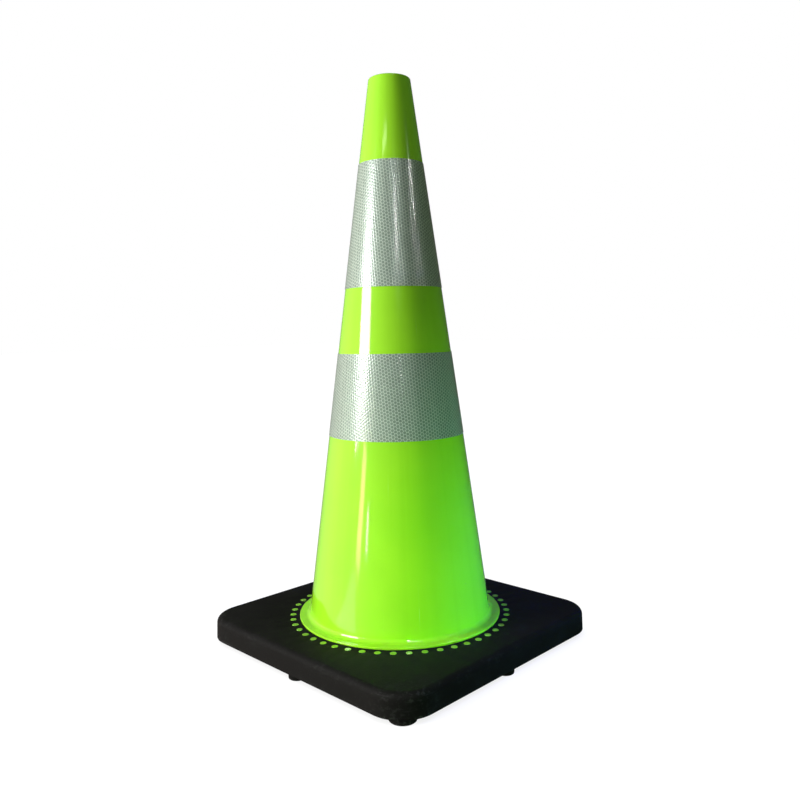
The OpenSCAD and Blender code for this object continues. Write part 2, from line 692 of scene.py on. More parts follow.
@dataclass
class MeshDraft:
    """Points and faces that are gathered before they become a mesh."""

    points: list[Triple] = field(default_factory=list)
    faces: list[tuple[int, ...]] = field(default_factory=list)

    def ring(self, ring_points: list[Triple]) -> list[int]:
        """Adds a loop of points.

        Args:
            ring_points: The points.

        Returns:
            The points' places in the draft.
        """
        first = len(self.points)
        self.points.extend(ring_points)
        return list(range(first, first + len(ring_points)))

    def bridge(self, lower: list[int], upper: list[int]) -> None:
        """Joins two closed loops of the same length with a band of quads.

        Args:
            lower: One loop.
            upper: The other loop.
        """
        count = len(lower)
        for i in range(count):
            j = (i + 1) % count
            self.faces.append((lower[i], lower[j], upper[j], upper[i]))

    def cap(self, loop: list[int], centre: Triple) -> None:
        """Closes a loop with a fan of triangles.

        Args:
            loop: The loop.
            centre: The fan's centre point.
        """
        middle = self.ring([centre])[0]
        count = len(loop)
        for i in range(count):
            self.faces.append((loop[i], loop[(i + 1) % count], middle))

    def revolve(self, outline: list[Point], segments: int, centre: Point = (0.0, 0.0)) -> None:
        """Turns a closed cross-section about a vertical line.

        Args:
            outline: The cross-section, as radius and height.
            segments: The number of steps in the turn.
            centre: The line's place.
        """
        loops = [self.ring(circle(r, z, segments, centre)) for r, z in outline]
        for i, loop in enumerate(loops):
            self.bridge(loop, loops[(i + 1) % len(loops)])

    def turned(self, outline: list[Point], segments: int, centre: Point = (0.0, 0.0)) -> None:
        """Turns an open cross-section about a vertical line and closes both ends on the line.

        Args:
            outline: The cross-section from one end to the other, as radius and height.
            segments: The number of steps in the turn.
            centre: The line's place.
        """
        loops = [self.ring(circle(r, z, segments, centre)) for r, z in outline]
        for lower, upper in zip(loops, loops[1:]):
            self.bridge(lower, upper)
        self.cap(loops[0], (*centre, outline[0][1]))
        self.cap(loops[-1], (*centre, outline[-1][1]))

    def to_mesh(self, name: str) -> bpy.types.Mesh:
        """Makes a Blender mesh of the draft, with its faces turned outwards.

        Args:
            name: The mesh's name.

        Returns:
            The mesh, shaded smooth.
        """
        mesh = bpy.data.meshes.new(name)
        mesh.from_pydata(self.points, [], self.faces)
        work = bmesh.new()
        work.from_mesh(mesh)
        bmesh.ops.remove_doubles(work, verts=work.verts, dist=MERGE_DISTANCE)
        bmesh.ops.recalc_face_normals(work, faces=work.faces)
        for face in work.faces:
            face.smooth = True
        work.to_mesh(mesh)
        work.free()
        return mesh


def circle(radius: float, height: float, segments: int, centre: Point) -> list[Triple]:
    """Points of a level circle.

    Args:
        radius: The circle's radius.
        height: The circle's height.
        segments: The number of points.
        centre: The circle's centre.

    Returns:
        The points, anticlockwise seen from above.
    """
    angles = np.arange(segments) * (2 * math.pi / segments)
    return [
        (centre[0] + radius * math.cos(a), centre[1] + radius * math.sin(a), height)
        for a in angles
    ]


def mark_sharp(mesh: bpy.types.Mesh) -> None:
    """Keeps the shading of a mesh's hard edges crisp.

    Args:
        mesh: The mesh.
    """
    work = bmesh.new()
    work.from_mesh(mesh)
    for edge in work.edges:
        if len(edge.link_faces) == 2 and edge.calc_face_angle(0.0) > math.radians(SHARP_DEGREES):
            edge.smooth = False
    work.to_mesh(mesh)
    work.free()


def show_piece(
    name: str, mesh: bpy.types.Mesh, materials: list[bpy.types.Material], part: Part
) -> bpy.types.Object:
    """Puts a mesh in the scene as a piece of the object.

    Args:
        name: The piece's name.
        mesh: The piece's mesh, in the CAD frame.
        materials: The piece's materials, in the order of its faces' material numbers.
        part: The CAD node that the piece stands for.

    Returns:
        The piece.
    """
    piece = bpy.data.objects.new(name, mesh)
    bpy.context.scene.collection.objects.link(piece)
    for material in materials:
        mesh.materials.append(material)
    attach(piece, ROOT_BODY)
    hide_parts(part.value)
    log.info("%s: %d points, %d faces", name, len(mesh.vertices), len(mesh.polygons))
    return piece


# ---------------------------------------------------------------------------------------------
# The object
# ---------------------------------------------------------------------------------------------


@dataclass(frozen=True)
class ConeWall:
    """The straight outer face of the wall, which the body and the collars share."""

    top: float = 700 * MM
    base_top: float = 33.5 * MM
    rim_radius: float = 25.7 * MM
    foot_radius: float = 116.1 * MM

    @property
    def slope(self) -> float:
        """How far the wall leans in for each unit of height."""
        return (self.foot_radius - self.rim_radius) / (self.top - self.base_top)

    @property
    def angle(self) -> float:
        """The wall's angle to the axis, in radians."""
        return math.atan(self.slope)

    @property
    def apex(self) -> float:
        """The height at which the wall would meet the axis."""
        return self.top + self.rim_radius / self.slope

    def radius_at(self, height: float) -> float:
        """The wall's outer radius at a height."""
        return self.rim_radius + self.slope * (self.top - height)

    def slant_at(self, height: float) -> float:
        """The distance along the wall from the apex to a height."""
        return (self.apex - height) / math.cos(self.angle)


@dataclass(frozen=True)
class MouldedLock:
    """What locks the body into the base: its neck, its flange and its ring of pegs."""

    neck_radius: float = 121 * MM
    flange_radius: float = 146 * MM
    flange_top: float = 19.5 * MM
    flange_bottom: float = 15.5 * MM
    peg_count: int = 48
    peg_radius: float = 3.8 * MM
    peg_circle_radius: float = 137.2 * MM
    peg_steps: int = 28

    def peg_centres(self) -> list[Point]:
        """The centre of each peg, half a step off the X axis."""
        angles = (np.arange(self.peg_count) + 0.5) * (2 * math.pi / self.peg_count)
        return [
            (self.peg_circle_radius * math.cos(a), self.peg_circle_radius * math.sin(a))
            for a in angles
        ]


@dataclass
class ConeBody:
    """The lime moulding: wall, lip, foot ring, neck, flange and lock pegs."""

    wall: ConeWall
    lock: MouldedLock
    thickness: float = 3 * MM
    rim_round: float = 2.2 * MM
    mouth_round: float = 1 * MM
    mouth_radius: float = 22 * MM
    lip_height: float = 12 * MM
    ring_radius: float = 128.7 * MM
    ring_thickness: float = 2.4 * MM
    ring_round: float = 0.9 * MM
    ring_fillet: float = 5.8 * MM
    peg_proud: float = 0.3 * MM
    peg_round: float = 0.22 * MM
    peg_sink: float = 0.05 * MM
    peg_rise_share: float = 0.82
    peg_sink_share: float = 0.45
    segments: int = 384
    shading_margin: float = 0.35 * MM

    def outline(self) -> list[Point]:
        """The moulding's cross-section.

        Returns:
            The points of half of the section, as radius and height.
        """
        wall, lock = self.wall, self.lock
        slant = 1 / math.cos(wall.angle)
        across = self.thickness * slant
        lean = math.degrees(wall.angle)
        rim_centre_z = wall.top - self.rim_round
        lip_bottom = wall.top - self.lip_height
        taper_z = lip_bottom - (wall.radius_at(lip_bottom) - across - self.mouth_radius)
        ring_top = wall.base_top + self.ring_thickness
        fillet_z = ring_top + self.ring_fillet
        points = arc(
            (self.mouth_radius + self.mouth_round, wall.top - self.mouth_round),
            self.mouth_round,
            180,
            90,
            steps=8,
        )
        points += arc(
            (wall.radius_at(rim_centre_z) - self.rim_round * slant, rim_centre_z),
            self.rim_round,
            90,
            lean,
            steps=10,
        )
        points += arc(
            (wall.radius_at(fillet_z) + self.ring_fillet * slant, fillet_z),
            self.ring_fillet,
            180 + lean,
            270,
            steps=18,
        )
        points += arc(
            (self.ring_radius - self.ring_round, ring_top - self.ring_round),
            self.ring_round,
            90,
            0,
            steps=8,
        )
        points += [
            (self.ring_radius, wall.base_top),
            (lock.neck_radius, wall.base_top),
            (lock.neck_radius, lock.flange_top),
            (lock.flange_radius, lock.flange_top),
            (lock.flange_radius, lock.flange_bottom),
            (wall.radius_at(lock.flange_bottom) - across, lock.flange_bottom),
            (wall.radius_at(taper_z) - across, taper_z),
            (self.mouth_radius, lip_bottom),
        ]
        return guarded(points, self.shading_margin)

    def build_shell(self, finish: bpy.types.Material) -> bpy.types.Object:
        """Makes the hollow cone with its foot ring, neck and flange.

        Args:
            finish: The lime finish.

        Returns:
            The piece.
        """
        draft = MeshDraft()
        draft.revolve(self.outline(), self.segments)
        return show_piece("cone_shell", draft.to_mesh("cone_shell"), [finish], Part.BODY)

    def build_pegs(self, finish: bpy.types.Material) -> bpy.types.Object:
        """Makes the ring of lock pegs, each with a softly rounded end that is sunk in the middle.

        Args:
            finish: The lime finish.

        Returns:
            The piece.
        """
        draft = MeshDraft()
        end = self.wall.base_top + self.peg_proud
        radius, soft = self.lock.peg_radius, self.peg_round
        outline = [(radius, self.lock.flange_top)]
        outline += arc((radius - soft, end - soft), soft, 0, 90, steps=4)
        outline += [
            (radius * self.peg_rise_share, end),
            (radius * self.peg_sink_share, end - self.peg_sink),
        ]
        for centre in self.lock.peg_centres():
            draft.turned(outline, self.lock.peg_steps, centre)
        return show_piece("lock_pegs", draft.to_mesh("lock_pegs"), [finish], Part.BODY)


@dataclass
class SquareBase:
    """The black moulding: a rounded slab with its opening, peg holes, recess and foot pads."""

    wall: ConeWall
    lock: MouldedLock
    half: float = 180 * MM
    corner: float = 43 * MM
    bottom: float = 6 * MM
    edge_round: float = 8 * MM
    draft: float = 0.7 * MM
    bevel: float = 0.8 * MM
    hole_edge: float = 0.25 * MM
    hole_mouth: float = 0.3 * MM
    hole_shoulder: float = 0.1 * MM
    shoulder_share: float = 0.3
    hole_gap: float = 0.02 * MM
    recess_radius: float = 151 * MM
    corner_foot_radius: float = 15 * MM
    corner_foot_inset: float = 23.5 * MM
    side_foot_radius: float = 11 * MM
    side_foot_inset: float = 12 * MM
    foot_round: float = 1.5 * MM
    foot_flare: float = 0.6 * MM
    corner_steps: int = 24
    side_steps: int = 24
    circle_steps: int = 192
    foot_steps: int = 48
    top_margin: float = 0.6 * MM
    side_margin: float = 0.5 * MM
    foot_margin: float = 0.3 * MM

    def outline(self, inset: float, height: float) -> list[Triple]:
        """The base's outline from above.

        Args:
            inset: How far the outline lies inside the widest one.
            height: Its height.

        Returns:
            The points, anticlockwise.
        """
        straight = self.half - self.corner
        radius = self.corner - inset
        points: list[Triple] = []

        def corner_centre(turn: int) -> Point:
            """The centre of a corner's round, after some quarter turns."""
            return (
                straight * (1 if turn % 4 in (0, 3) else -1),
                straight * (1 if turn % 4 in (0, 1) else -1),
            )

        for turn in range(4):
            first = turn * math.pi / 2
            cx, cy = corner_centre(turn)
            for i in range(self.corner_steps + 1):
                a = first + i / self.corner_steps * math.pi / 2
                points.append((cx + radius * math.cos(a), cy + radius * math.sin(a), height))
            ax, ay, _ = points[-1]
            nx, ny = corner_centre(turn + 1)
            end_angle = first + math.pi / 2
            bx, by = nx + radius * math.cos(end_angle), ny + radius * math.sin(end_angle)
            for i in range(1, self.side_steps):
                t = i / self.side_steps
                points.append((ax + (bx - ax) * t, ay + (by - ay) * t, height))
        return points

    def side_profile(self) -> list[Point]:
        """The base's side, from the bottom bevel to the top face.

        Returns:
            The points, as inset and height.
        """
        top = self.wall.base_top
        profile = [(self.bevel, self.bottom), (0.0, self.bottom + self.bevel)]
        profile += [
            (self.draft + self.edge_round - r, z)
            for r, z in arc((0.0, top - self.edge_round), self.edge_round, 0, 90, steps=12)
        ]
        return guarded(profile, self.side_margin, closed=False)

    @staticmethod
    def _fill(
        work: bmesh.types.BMesh, loops: list[list[bmesh.types.BMVert]], up: float
    ) -> None:
        """Fills the flat region between loops.

        Args:
            work: The mesh being built.
            loops: The outer loop and the holes.
            up: The direction of the filled face, +1 or -1.
        """
        edges = [
            work.edges.get((a, b)) or work.edges.new((a, b))
            for loop in loops
            for a, b in zip(loop, loop[1:] + loop[:1])
        ]
        bmesh.ops.triangle_fill(
            work, use_beauty=True, use_dissolve=False, edges=edges, normal=(0, 0, up)
        )

    def build(self, finish: bpy.types.Material) -> bpy.types.Object:
        """Makes the slab with its holes, recess and foot pads.

        Args:
            finish: The black finish.

        Returns:
            The piece.
        """
        work = bmesh.new()

        def ring(points: list[Triple]) -> list[bmesh.types.BMVert]:
            """Adds a loop of points."""
            return [work.verts.new(p) for p in points]

        def bridge(first: list[bmesh.types.BMVert], second: list[bmesh.types.BMVert]) -> None:
            """Joins two loops with quads."""
            for i, vert in enumerate(first):
                j = (i + 1) % len(first)
                work.faces.new((vert, first[j], second[j], second[i]))

        top, lock = self.wall.base_top, self.lock
        sides = [ring(self.outline(inset, z)) for inset, z in self.side_profile()]
        for lower, upper in zip(sides, sides[1:]):
            bridge(lower, upper)
        guard = ring(self.outline(self.draft + self.edge_round + self.top_margin, top))
        bridge(sides[-1], guard)

        # Each hole's edge is softened, and the hole runs down to the flange
        hole_profile = (
            (lock.peg_radius + self.hole_mouth, top),
            (lock.peg_radius + self.hole_shoulder, top - self.shoulder_share * self.hole_edge),
            (lock.peg_radius + self.hole_gap, top - self.hole_edge),
            (lock.peg_radius + self.hole_gap, lock.flange_top),
        )
        holes = []
        for centre in lock.peg_centres():
            loops = [ring(circle(r, z, lock.peg_steps, centre)) for r, z in hole_profile]
            for upper, lower in zip(loops, loops[1:]):
                bridge(upper, lower)
            holes.append((loops[0], loops[-1]))

        def round_loop(radius: float, height: float) -> list[bmesh.types.BMVert]:
            """Adds a circle about the cone's axis."""
            return ring(circle(radius, height, self.circle_steps, (0.0, 0.0)))

        opening_top = round_loop(lock.neck_radius, top)
        opening_low = round_loop(lock.neck_radius, lock.flange_top)
        bridge(opening_top, opening_low)
        plate_edge = round_loop(lock.flange_radius, lock.flange_top)
        step_edge = round_loop(lock.flange_radius, lock.flange_bottom)
        recess_top = round_loop(self.recess_radius, lock.flange_bottom)
        recess_low = round_loop(self.recess_radius, self.bottom)
        bridge(plate_edge, step_edge)
        bridge(step_edge, recess_top)
        bridge(recess_top, recess_low)
        self._fill(work, [guard, opening_top, *[outer for outer, _ in holes]], 1.0)
        self._fill(work, [plate_edge, opening_low, *[low for _, low in holes]], -1.0)

        foot_loops = []
        corner_at = self.half - self.corner_foot_inset
        side_at = self.half - self.side_foot_inset
        for turn in range(4):
            a = turn * math.pi / 2
            for x, y, radius in (
                (corner_at, corner_at, self.corner_foot_radius),
                (side_at, 0.0, self.side_foot_radius),
            ):
                centre = (
                    x * math.cos(a) - y * math.sin(a),
                    x * math.sin(a) + y * math.cos(a),
                )
                profile = [
                    (radius + self.foot_flare, self.bottom),
                    (radius, self.bottom - self.foot_flare),
                ]
                profile += arc(
                    (radius - self.foot_round, self.foot_round), self.foot_round, 0, -90, steps=6
                )
                loops = [
                    ring(circle(r, z, self.foot_steps, centre))
                    for r, z in guarded(profile, self.foot_margin, closed=False)
                ]
                for first, second in zip(loops, loops[1:]):
                    bridge(first, second)
                work.faces.new(loops[-1])
                foot_loops.append(loops[0])
        self._fill(work, [sides[0], recess_low, *foot_loops], -1.0)

        bmesh.ops.recalc_face_normals(work, faces=work.faces)
        for face in work.faces:
            face.smooth = True
        mesh = bpy.data.meshes.new("square_base")
        work.to_mesh(mesh)
        work.free()
        mark_sharp(mesh)
        return show_piece("square_base", mesh, [finish], Part.BASE)


@dataclass
class SeamLine:
    """A line across the prism pattern, where two plates of the film's tool met."""

    bearing: float
    lean: float
    width: float


@dataclass
class Collar:
    """A reflective collar: a white backing film and a prismatic face film welded to it."""

    wall: ConeWall
    name: str
    backing_part: Part
    face_part: Part
    backing: float = 0.2 * MM
    face: float = 0.35 * MM
    pitch: float = 4.0 * MM
    weld_width: float = 0.66 * MM
    weld_dip: float = 0.09 * MM
    crown: float = 0.055 * MM
    inner_share: float = 0.55
    inner_crown: float = 0.86
    corner_cut: float = 19.0
    row_turn: float = 5.0
    lattice_reach: float = 2.2
    lap_bearing: float = 60.0
    lap: float = 8 * MM
    lap_ramp: float = 5 * MM
    seams: tuple[SeamLine, ...] = ()
    seed: int = 1
    backing_steps: int = 500

    def __post_init__(self) -> None:
        """Takes the collar's place on the wall from its CAD nodes."""
        low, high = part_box(self.backing_part.value)
        rise = self.backing * math.sin(self.wall.angle)
        self.sin: float = math.sin(self.wall.angle)
        self.cos: float = math.cos(self.wall.angle)
        self.near: float = self.wall.slant_at(high.z - rise)
        self.far: float = self.wall.slant_at(low.z)
        self.middle: float = (self.near + self.far) / 2
        start = (self.lap_bearing - FRONT_BEARING) % 360 - 360
        overlap = math.degrees(self.lap / (self.middle * self.sin))
        self.start: float = math.radians(start) * self.sin
        self.end: float = math.radians(start + 360 + overlap) * self.sin
        self.close: float = math.radians(start + 360) * self.sin

    def lift(self, turn: np.ndarray) -> np.ndarray:
        """How far the film is lifted where its end climbs over its start.

        Args:
            turn: Angles in the flat film.

        Returns:
            The lift at each angle.
        """
        share = np.clip((turn - self.close) * self.middle / self.lap_ramp + 1, 0, 1)
        return (self.backing + self.face) * share * share * (3 - 2 * share)

    def wrap(self, turn: np.ndarray, slant: np.ndarray, out: np.ndarray) -> np.ndarray:
        """Wraps points of the flat film round the wall.

        Args:
            turn: Angles in the flat film, from the front.
            slant: Distances from the wall's apex.
            out: Distances out from the wall.

        Returns:
            The points in the CAD frame.
        """
        bearing = turn / self.sin + math.radians(FRONT_BEARING)
        height = out + self.lift(turn)
        radius = slant * self.sin + height * self.cos
        z = self.wall.apex - slant * self.cos + height * self.sin
        return np.stack([radius * np.cos(bearing), radius * np.sin(bearing), z], axis=1)

    def cell_template(self) -> tuple[np.ndarray, list[tuple[tuple[int, ...], int]]]:
        """One honeycomb cell in the flat film.

        Returns:
            Its points as across, along and out, and its faces with their material numbers.
        """
        base = math.pi / 2 - math.radians(self.row_turn)
        corners = [base + math.radians(30 + 60 * k) for k in range(6)]
        half = self.pitch / 2 - self.weld_width / 2
        cut = math.radians(self.corner_cut)
        rim_radius = half / math.cos(math.radians(30) - cut / 2)
        inner_level = self.face + self.crown * self.inner_crown
        outer = [(self.pitch / math.sqrt(3), a, self.face - self.weld_dip) for a in corners]
        rim = [(rim_radius, a + side * cut / 2, self.face) for a in corners for side in (-1, 1)]
        inner = [(half * self.inner_share, a, inner_level) for a in corners]
        polar = outer + rim + inner + [(0.0, 0.0, self.face + self.crown)]
        points = np.array([(r * math.cos(a), r * math.sin(a), h) for r, a, h in polar])
        rim_start, inner_start, peak = len(outer), len(outer) + len(rim), len(polar) - 1
        faces: list[tuple[tuple[int, ...], int]] = []
        for k in range(6):
            n = (k + 1) % 6
            first, after = rim_start + 2 * k, rim_start + 2 * n
            second = first + 1
            here, there = inner_start + k, inner_start + n
            faces.append(((k, second, first), FilmLayer.WELD))
            faces.append(((k, n, after, second), FilmLayer.WELD))
            faces.append(((first, second, here), FilmLayer.CELL))
            faces.append(((second, after, there, here), FilmLayer.CELL))
            faces.append(((here, there, peak), FilmLayer.CELL))
        return points, faces

    def lattice(self) -> np.ndarray:
        """The centres of all cells that the film needs.

        Returns:
            The centres in the flat film, with the wall's apex at (0, 0).
        """
        turn = math.radians(self.row_turn)
        first = self.pitch * np.array([math.sin(turn), math.cos(turn)])
        angle = turn + math.radians(60)
        second = self.pitch * np.array([math.sin(angle), math.cos(angle)])
        # The directions are 60 degrees apart, so far / pitch steps along each would not fill the film
        reach = int(self.lattice_reach * self.far / self.pitch)
        i, j = np.meshgrid(np.arange(-reach, reach), np.arange(-reach, reach))
        centres = i.reshape(-1, 1) * first + j.reshape(-1, 1) * second
        slant = np.hypot(centres[:, 0], centres[:, 1])
        turns = np.arctan2(centres[:, 0], centres[:, 1])
        margin = self.pitch
        keep = (slant > self.near - margin) & (slant < self.far + margin)
        keep &= (turns > self.start - margin / self.near) & (turns < self.end + margin / self.near)
        return centres[keep]

    def flat_film(self) -> bmesh.types.BMesh:
        """The honeycomb face of the flat film, cut to the collar's outline.

        Returns:
            A mesh whose points are angle times middle slant, slant, and distance out.
        """
        template, faces = self.cell_template()
        centres = self.lattice()
        flat = np.concatenate([centres, np.zeros((len(centres), 1))], axis=1)
        points = (flat[:, None, :] + template[None, :, :]).reshape(-1, 3)
        slant = np.hypot(points[:, 0], points[:, 1])
        turn = np.arctan2(points[:, 0], points[:, 1])
        laid = np.stack([turn * self.middle, slant, points[:, 2]], axis=1)
        size = len(template)
        mesh = bpy.data.meshes.new("flat_film")
        mesh.from_pydata(
            laid.tolist(),
            [],
            [tuple(v + c * size for v in f) for c in range(len(centres)) for f, _ in faces],
        )
        mesh.polygons.foreach_set(
            "material_index", np.tile([m for _, m in faces], len(centres)).astype(np.int32)
        )
        tones = np.random.default_rng(self.seed).random(len(centres))
        attribute = mesh.attributes.new(CELL_TONE, "FLOAT", "FACE")
        attribute.data.foreach_set("value", np.repeat(tones, len(faces)).astype(np.float32))
        work = bmesh.new()
        work.from_mesh(mesh)
        bpy.data.meshes.remove(mesh)
        bmesh.ops.remove_doubles(work, verts=work.verts, dist=0.02 * MM)
        for co, no in (
            ((0, self.near, 0), (0, -1, 0)),
            ((0, self.far, 0), (0, 1, 0)),
            ((self.start * self.middle, 0, 0), (-1, 0, 0)),
            ((self.end * self.middle, 0, 0), (1, 0, 0)),
        ):
            self.slice(work, co, no, clear=True)
        for seam in self.seams:
            self.mark_seam(work, seam)
        return work

    @staticmethod
    def slice(work: bmesh.types.BMesh, co: Triple, no: Triple, clear: bool) -> None:
        """Cuts the flat film along a line.

        Args:
            work: The film.
            co: A point of the line.
            no: The line's normal.
            clear: Whether what lies on the normal's side goes away.
        """
        bmesh.ops.bisect_plane(
            work,
            geom=[*work.verts, *work.edges, *work.faces],
            dist=1e-7,
            plane_co=co,
            plane_no=no,
            clear_outer=clear,
        )

    def mark_seam(self, work: bmesh.types.BMesh, seam: SeamLine) -> None:
        """Cuts a thin line across the pattern and gives it its own material.

        Args:
            work: The film.
            seam: The line.
        """
        turn = math.radians(seam.bearing - FRONT_BEARING) * self.sin * self.middle
        lean = math.radians(seam.lean)
        normal = Vector((math.cos(lean), math.sin(lean), 0.0))
        centre = Vector((turn, self.middle, 0.0))
        for side in (-0.5, 0.5):
            self.slice(work, centre + normal * (side * seam.width), normal, clear=False)
        for face in work.faces:
            across = (face.calc_center_median() - centre).dot(normal)
            if abs(across) < seam.width / 2:
                face.material_index = FilmLayer.SEAM

    def close_back(self, work: bmesh.types.BMesh) -> None:
        """Gives the film its cut edges and its back, so that it is a closed solid.

        Args:
            work: The film's face.
        """
        rim = [e for e in work.edges if len(e.link_faces) == 1]
        for edge in rim:
            edge.smooth = False
        grown = bmesh.ops.extrude_edge_only(work, edges=rim)["geom"]
        low = [v for v in grown if isinstance(v, bmesh.types.BMVert)]
        for vert in low:
            vert.co.z = 0.0
        for edge in (e for e in grown if isinstance(e, bmesh.types.BMEdge)):
            edge.smooth = False
        near_x, far_x = self.start * self.middle, self.end * self.middle
        slack = 0.002 * MM
        top = sorted((v for v in low if abs(v.co.y - self.near) < slack), key=lambda v: v.co.x)
        bottom = sorted((v for v in low if abs(v.co.y - self.far) < slack), key=lambda v: v.co.x)
        left = sorted((v for v in low if abs(v.co.x - near_x) < slack), key=lambda v: v.co.y)
        right = sorted((v for v in low if abs(v.co.x - far_x) < slack), key=lambda v: v.co.y)
        made = [(a, b, bottom[1]) for a, b in zip(left, left[1:])]
        made += [(a, b, top[-2]) for a, b in zip(right, right[1:])]
        i, j = 0, 1
        while i < len(top) - 2 or j < len(bottom) - 1:
            step_top = j == len(bottom) - 1 or (
                i < len(top) - 2 and top[i + 1].co.x <= bottom[j + 1].co.x
            )
            if step_top:
                made.append((top[i], bottom[j], top[i + 1]))
                i += 1
            else:
                made.append((top[i], bottom[j], bottom[j + 1]))
                j += 1
        for corners in made:
            if len(set(corners)) == 3:
                work.faces.new(corners).material_index = FilmLayer.WELD

    def build_face(self, finishes: list[bpy.types.Material]) -> bpy.types.Object:
        """Makes the prismatic face film.

        Args:
            finishes: The finishes of the cells, the weld lines and the tool seams.

        Returns:
            The piece.
        """
        work = self.flat_film()
        self.close_back(work)
        co = np.array([v.co for v in work.verts])
        wrapped = self.wrap(co[:, 0] / self.middle, co[:, 1], co[:, 2] + self.backing)
        for vert, place in zip(work.verts, wrapped):
            vert.co = place
        bmesh.ops.recalc_face_normals(work, faces=work.faces)
        for face in work.faces:
            face.smooth = True
        mesh = bpy.data.meshes.new(self.name + "_face")
        work.to_mesh(mesh)
        work.free()
        return show_piece(mesh.name, mesh, finishes, self.face_part)

    def build_backing(self, finish: bpy.types.Material) -> bpy.types.Object:
        """Makes the white backing film.

        Args:
            finish: The white finish.

        Returns:
            The piece.
        """
        turns = np.linspace(self.start, self.end, self.backing_steps)
        draft = MeshDraft()
        loops = []
        for slant, out in (
            (self.near, 0.0),
            (self.near, self.backing),
            (self.far, self.backing),
            (self.far, 0.0),
        ):
            points = self.wrap(turns, np.full_like(turns, slant), np.full_like(turns, out))
            loops.append(draft.ring([tuple(p) for p in points.tolist()]))
        for first, second in zip(loops, loops[1:] + loops[:1]):
            for i in range(len(first) - 1):
                draft.faces.append((first[i], first[i + 1], second[i + 1], second[i]))
        draft.faces.append(tuple(loop[0] for loop in loops))
        draft.faces.append(tuple(loop[-1] for loop in loops))
        mesh = draft.to_mesh(self.name + "_backing")
        mark_sharp(mesh)
        return show_piece(mesh.name, mesh, [finish], self.backing_part)


# ---------------------------------------------------------------------------------------------
# The studio
# ---------------------------------------------------------------------------------------------


class Reach(Enum):
    """What a light does."""

    ALL = "light and reflections"
    LIGHT = "light without a reflection"
    REFLECTION = "a reflection only"


@dataclass(frozen=True)
class SoftBox:
    """A flat rectangular light that faces the object.

    It stands at `side` degrees to the right of the front, at a distance from the axis, and faces
    the axis at the height `aim`. `lean` turns it about its own direction, `spread` narrows its
    beam, and a `lying` one faces straight up.
    """

    name: str
    side: float
    distance: float
    height: float
    width: float
    tall: float
    radiance: float
    tint: Colour = (1.0, 1.0, 1.0)
    aim: float = 0.35
    reach: Reach = Reach.ALL
    lean: float = 0.0
    spread: float = 180.0
    lying: bool = False

    def build(self) -> None:
        """Puts the light in the scene."""
        lamp = bpy.data.lights.new(self.name, "AREA")
        lamp.shape = "RECTANGLE"
        lamp.size, lamp.size_y = self.width, self.tall
        lamp.energy = self.radiance * math.pi * self.width * self.tall
        if self.spread < 180:
            half = math.radians(self.spread / 2)
            lamp.spread = 2 * half
            lamp.energy *= 1 - half / math.tan(half)
        lamp.color = self.tint
        light = bpy.data.objects.new(self.name, lamp)
        bearing = math.radians(FRONT_BEARING + self.side)
        light.location = (
            self.distance * math.cos(bearing),
            self.distance * math.sin(bearing),
            self.height,
        )
        if self.lying:
            light.rotation_euler = (math.pi, 0.0, bearing)
        else:
            towards = Vector((0.0, 0.0, self.aim)) - light.location
            turn = Matrix.Rotation(math.radians(self.lean), 4, towards)
            light.rotation_euler = (
                turn @ towards.to_track_quat("-Z", "Y").to_matrix().to_4x4()
            ).to_euler()
        lamp.cycles.use_multiple_importance_sampling = self.reach is not Reach.LIGHT
        light.visible_camera = False
        light.visible_glossy = self.reach is not Reach.LIGHT
        light.visible_diffuse = self.reach is not Reach.REFLECTION
        bpy.context.scene.collection.objects.link(light)


